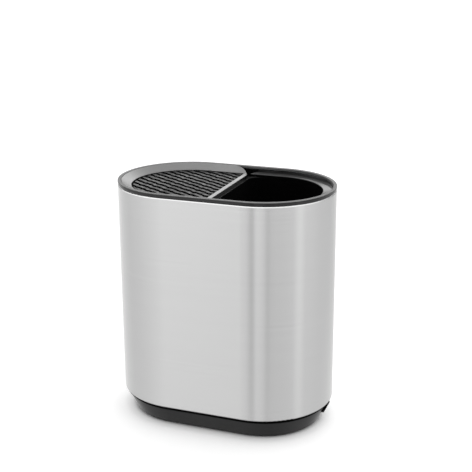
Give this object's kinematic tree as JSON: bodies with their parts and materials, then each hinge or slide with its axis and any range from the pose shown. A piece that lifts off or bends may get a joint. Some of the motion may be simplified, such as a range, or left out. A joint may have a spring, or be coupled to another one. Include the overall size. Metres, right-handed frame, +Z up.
{
  "type": "knife and utensil holder",
  "caption": "Oval countertop holder: a steel sleeve on a tapered tray, with a lift-out rack of wavy slats for knives beside a deep lift-out cup for utensils.",
  "frame": {"origin": "middle of the footprint, on the table", "axes": "+X along the long axis towards the utensil cup, +Y across, away from the front, +Z up"},
  "size_m": [0.205, 0.13, 0.225],
  "materials": {
    "brushed_sleeve": "brushed stainless steel, satin, grain round the oval",
    "black_gloss": "glossy black plastic",
    "black_cup": "smooth black plastic, seen only when the rack is out",
    "black_satin": "satin black plastic",
    "slat_plastic": "satin black plastic",
    "silver_frame": "satin silver paint on plastic",
    "pad_rubber": "soft black rubber"
  },
  "bodies": {
    "stand": {"base_tray": "black_satin", "pads": "pad_rubber", "steel_sleeve": "brushed_sleeve", "rim_band": "black_gloss", "rim_ring": "silver_frame"},
    "knife_cup": {"knife_cup": "black_cup"},
    "knife_rack": {"slat_carrier": "black_satin", "knife_frame": "silver_frame", "slat_01": "slat_plastic", "slat_02": "slat_plastic", "slat_03": "slat_plastic", "slat_04": "slat_plastic", "slat_05": "slat_plastic", "slat_06": "slat_plastic", "slat_07": "slat_plastic", "slat_08": "slat_plastic", "slat_09": "slat_plastic", "slat_10": "slat_plastic", "slat_11": "slat_plastic", "slat_12": "slat_plastic", "slat_13": "slat_plastic", "slat_14": "slat_plastic", "slat_15": "slat_plastic", "slat_16": "slat_plastic"},
    "utensil_cup": {"utensil_cup": "black_gloss"}
  },
  "joints": [
    {"name": "utensil_cup_lift", "type": "slide", "parent": "stand", "child": "utensil_cup", "axis": [0, 0, 1], "range_m": [0, 0.222]},
    {"name": "knife_cup_lift", "type": "slide", "parent": "stand", "child": "knife_cup", "axis": [0, 0, 1], "range_m": [0, 0.222]},
    {"name": "knife_rack_lift", "type": "slide", "parent": "knife_cup", "child": "knife_rack", "axis": [0, 0, 1], "range_m": [0, 0.07]}
  ]
}
